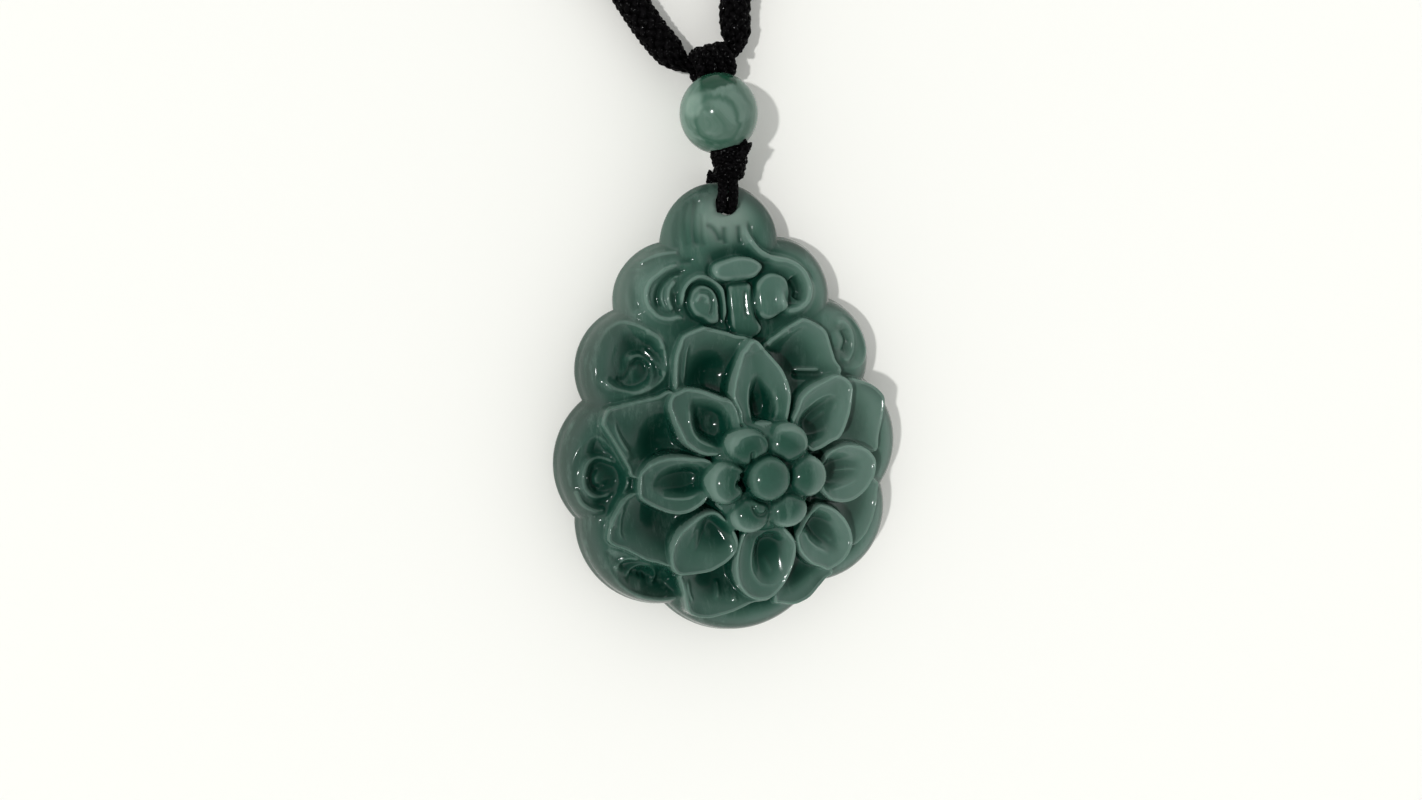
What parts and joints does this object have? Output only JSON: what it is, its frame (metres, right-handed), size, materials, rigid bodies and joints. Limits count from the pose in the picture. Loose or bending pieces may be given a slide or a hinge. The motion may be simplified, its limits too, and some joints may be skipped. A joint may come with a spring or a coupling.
{
  "type": "pendant necklace",
  "caption": "Carved green stone flower plaque hung through its top hole under a round stone bead, on a closed black braided neck cord; lies flat on its back.",
  "frame": {"origin": "on the plaque's flat back, midway between its sides and 24.2 mm below its top", "axes": "+Y runs up the plaque to the bead and the neck cord, +X to the plaque's right as seen from its carved face, +Z out of the carved face, away from the surface that it lies on"},
  "size_m": [0.1746, 0.3179, 0.012],
  "materials": {
    "jade": "carved and polished dark green jade, greyer and lighter on its worn edges",
    "jade_bead": "polished pale green jade with darker veins",
    "thin_cord": "black twisted nylon cord, about 0.8 mm, wound in tight turns",
    "neck_cord": "black round braided nylon cord"
  },
  "bodies": {
    "root": {"pendant": "jade", "bead": "jade_bead", "hanging_cord": "thin_cord", "lower_knot": "thin_cord", "top_knot": "thin_cord", "neck_cord": "neck_cord", "closing_knot": "thin_cord"}
  },
  "joints": []
}
